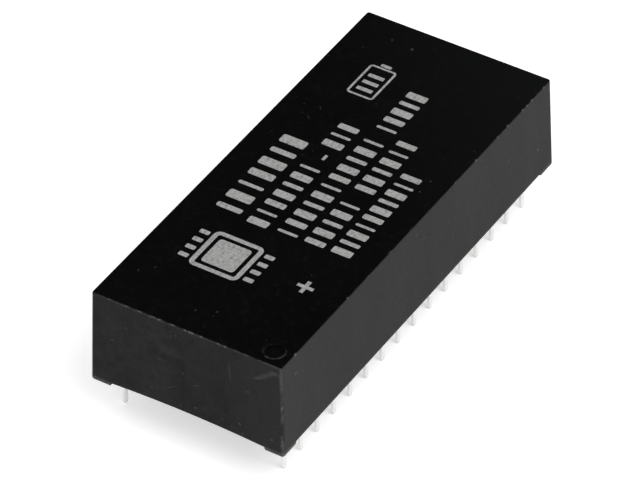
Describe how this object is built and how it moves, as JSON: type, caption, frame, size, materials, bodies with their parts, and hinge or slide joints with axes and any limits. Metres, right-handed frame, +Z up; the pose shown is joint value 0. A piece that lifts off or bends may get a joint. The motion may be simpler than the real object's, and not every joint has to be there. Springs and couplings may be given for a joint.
{
  "type": "potted memory module",
  "caption": "Black potted non-volatile memory module: drafted case on four corner feet, round pin-one recess, and two rows of flat pins.",
  "frame": {"origin": "on the ground plane, midway between the tips of all the pins", "axes": "+X along the length, away from pin one; +Y across the width, away from pin one's row; +Z up, from the pin tips to the top face"},
  "size_m": [0.043, 0.0184, 0.0129],
  "materials": {
    "case_plastic": "fine satin, smoother on top",
    "potting_epoxy": "cast, slightly wavy",
    "board_laminate": "satin solder mask",
    "chip_package": "matte moulding",
    "cell_steel": "brushed",
    "tab_nickel": "bright",
    "capacitor_ceramic": "matte ceramic",
    "pin_metal": "satin plating",
    "marking_ink": "thin matte print, slightly mottled"
  },
  "bodies": {
    "root": {"case_shell": "case_plastic", "potting": "potting_epoxy", "circuit_board": "board_laminate", "memory_chip": "chip_package", "controller_chip": "chip_package", "lithium_cell": "cell_steel", "cell_tab_negative": "tab_nickel", "cell_tab_positive": "tab_nickel", "decoupling_capacitor": "capacitor_ceramic", "pin_01": "pin_metal", "pin_02": "pin_metal", "pin_03": "pin_metal", "pin_04": "pin_metal", "pin_05": "pin_metal", "pin_06": "pin_metal", "pin_07": "pin_metal", "pin_08": "pin_metal", "pin_09": "pin_metal", "pin_10": "pin_metal", "pin_11": "pin_metal", "pin_12": "pin_metal", "pin_13": "pin_metal", "pin_14": "pin_metal", "pin_15": "pin_metal", "pin_16": "pin_metal", "pin_17": "pin_metal", "pin_18": "pin_metal", "pin_19": "pin_metal", "pin_20": "pin_metal", "pin_21": "pin_metal", "pin_22": "pin_metal", "pin_23": "pin_metal", "pin_24": "pin_metal", "pin_25": "pin_metal", "pin_26": "pin_metal", "pin_27": "pin_metal", "pin_28": "pin_metal", "pin_29": "pin_metal", "pin_30": "pin_metal", "pin_31": "pin_metal", "pin_32": "pin_metal"}
  },
  "joints": []
}
